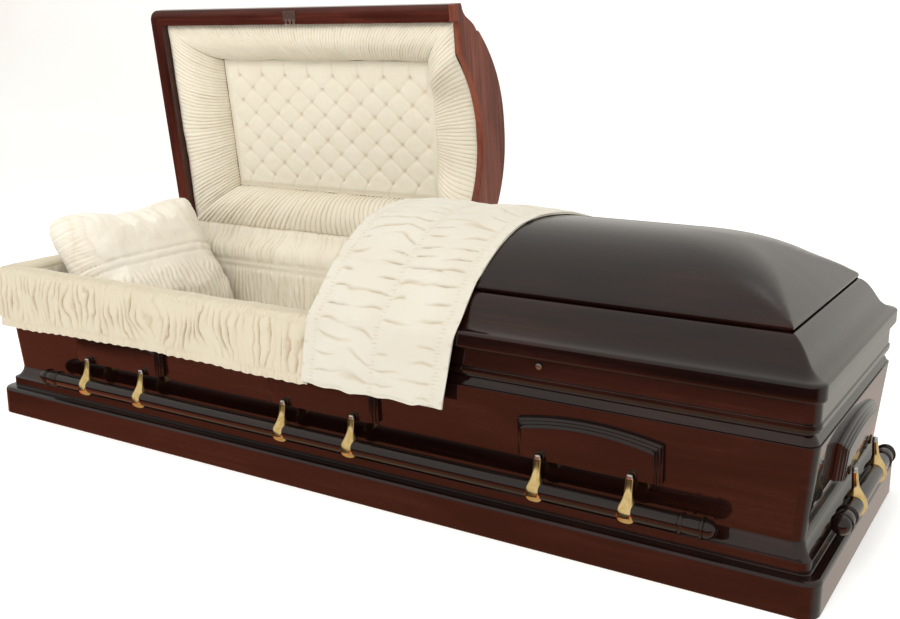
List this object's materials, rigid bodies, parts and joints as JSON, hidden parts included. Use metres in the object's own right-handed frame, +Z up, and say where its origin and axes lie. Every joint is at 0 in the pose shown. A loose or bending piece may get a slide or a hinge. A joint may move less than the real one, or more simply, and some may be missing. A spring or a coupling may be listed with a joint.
{
  "type": "funeral casket",
  "caption": "Half-couch wooden casket with a hinged head lid standing open, a closed foot lid, swing-bar handles, and a gathered cloth lining, pillow, skirt and overlay.",
  "frame": {"origin": "centre of the underside of the base", "axes": "+X along the casket towards the foot end, +Y towards the hinge side at the back, +Z up"},
  "size_m": [2.173, 0.8764, 1.0528],
  "materials": {
    "mahogany": "dark red mahogany under high-gloss lacquer",
    "bar_wood": "dark turned wood, polished",
    "cloth": "cream crepe, gathered and padded",
    "brass": "polished cast brass",
    "steel": "dull plated steel"
  },
  "bodies": {
    "casket": {"bottom_board": "mahogany", "base_moulding_front": "mahogany", "base_moulding_back": "mahogany", "base_moulding_head": "mahogany", "base_moulding_foot": "mahogany", "wall_front": "mahogany", "wall_back": "mahogany", "wall_head": "mahogany", "wall_foot": "mahogany", "rail_front": "mahogany", "rail_back": "mahogany", "rail_head": "mahogany", "rail_foot": "mahogany", "arched_panel_front_1": "mahogany", "arched_panel_front_2": "mahogany", "arched_panel_front_3": "mahogany", "arched_panel_back_1": "mahogany", "arched_panel_back_2": "mahogany", "arched_panel_back_3": "mahogany", "arched_panel_head": "mahogany", "arched_panel_foot": "mahogany", "lining_front": "cloth", "lining_back": "cloth", "lining_head": "cloth", "lining_foot": "cloth", "bed": "cloth", "pillow": "cloth", "skirt": "cloth", "rail_catch": "steel"},
    "head_lid": {"head_lid_rim": "mahogany", "head_lid_crown": "mahogany", "head_lid_header": "mahogany", "head_lid_border": "cloth", "head_lid_tufted_panel": "cloth", "latch_plate": "steel"},
    "foot_lid": {"foot_lid_rim": "mahogany", "foot_lid_crown": "mahogany", "foot_lid_header": "mahogany", "foot_lid_lining": "cloth", "overlay_cloth": "cloth"},
    "front_handle": {"bar_front": "bar_wood", "arm_front_1": "brass", "arm_front_2": "brass", "arm_front_3": "brass", "arm_front_4": "brass", "arm_front_5": "brass", "arm_front_6": "brass"},
    "back_handle": {"bar_back": "bar_wood", "arm_back_1": "brass", "arm_back_2": "brass", "arm_back_3": "brass", "arm_back_4": "brass", "arm_back_5": "brass", "arm_back_6": "brass"},
    "head_handle": {"bar_head": "bar_wood", "arm_head_1": "brass", "arm_head_2": "brass"},
    "foot_handle": {"bar_foot": "bar_wood", "arm_foot_1": "brass", "arm_foot_2": "brass"}
  },
  "joints": [
    {"name": "head_lid_hinge", "type": "hinge", "parent": "casket", "child": "head_lid", "pos_m": [-0.5, 0.337, 0.381], "axis": [1, 0, 0], "range_deg": [0, 82.3], "deforming": ["pillow", "skirt"]},
    {"name": "foot_lid_hinge", "type": "hinge", "parent": "casket", "child": "foot_lid", "pos_m": [0.5, 0.337, 0.381], "axis": [-1, 0, 0], "range_deg": [0, 82.3], "deforming": ["overlay_cloth"]},
    {"name": "front_handle_hinge", "type": "hinge", "parent": "casket", "child": "front_handle", "pos_m": [0, -0.34114, 0.191], "axis": [-1, 0, 0], "range_deg": [0, 85]},
    {"name": "back_handle_hinge", "type": "hinge", "parent": "casket", "child": "back_handle", "pos_m": [0, 0.34114, 0.191], "axis": [1, 0, 0], "range_deg": [0, 85]},
    {"name": "head_handle_hinge", "type": "hinge", "parent": "casket", "child": "head_handle", "pos_m": [-1.06114, 0, 0.191], "axis": [0, 1, 0], "range_deg": [0, 85]},
    {"name": "foot_handle_hinge", "type": "hinge", "parent": "casket", "child": "foot_handle", "pos_m": [1.06114, 0, 0.191], "axis": [0, -1, 0], "range_deg": [0, 85]}
  ]
}
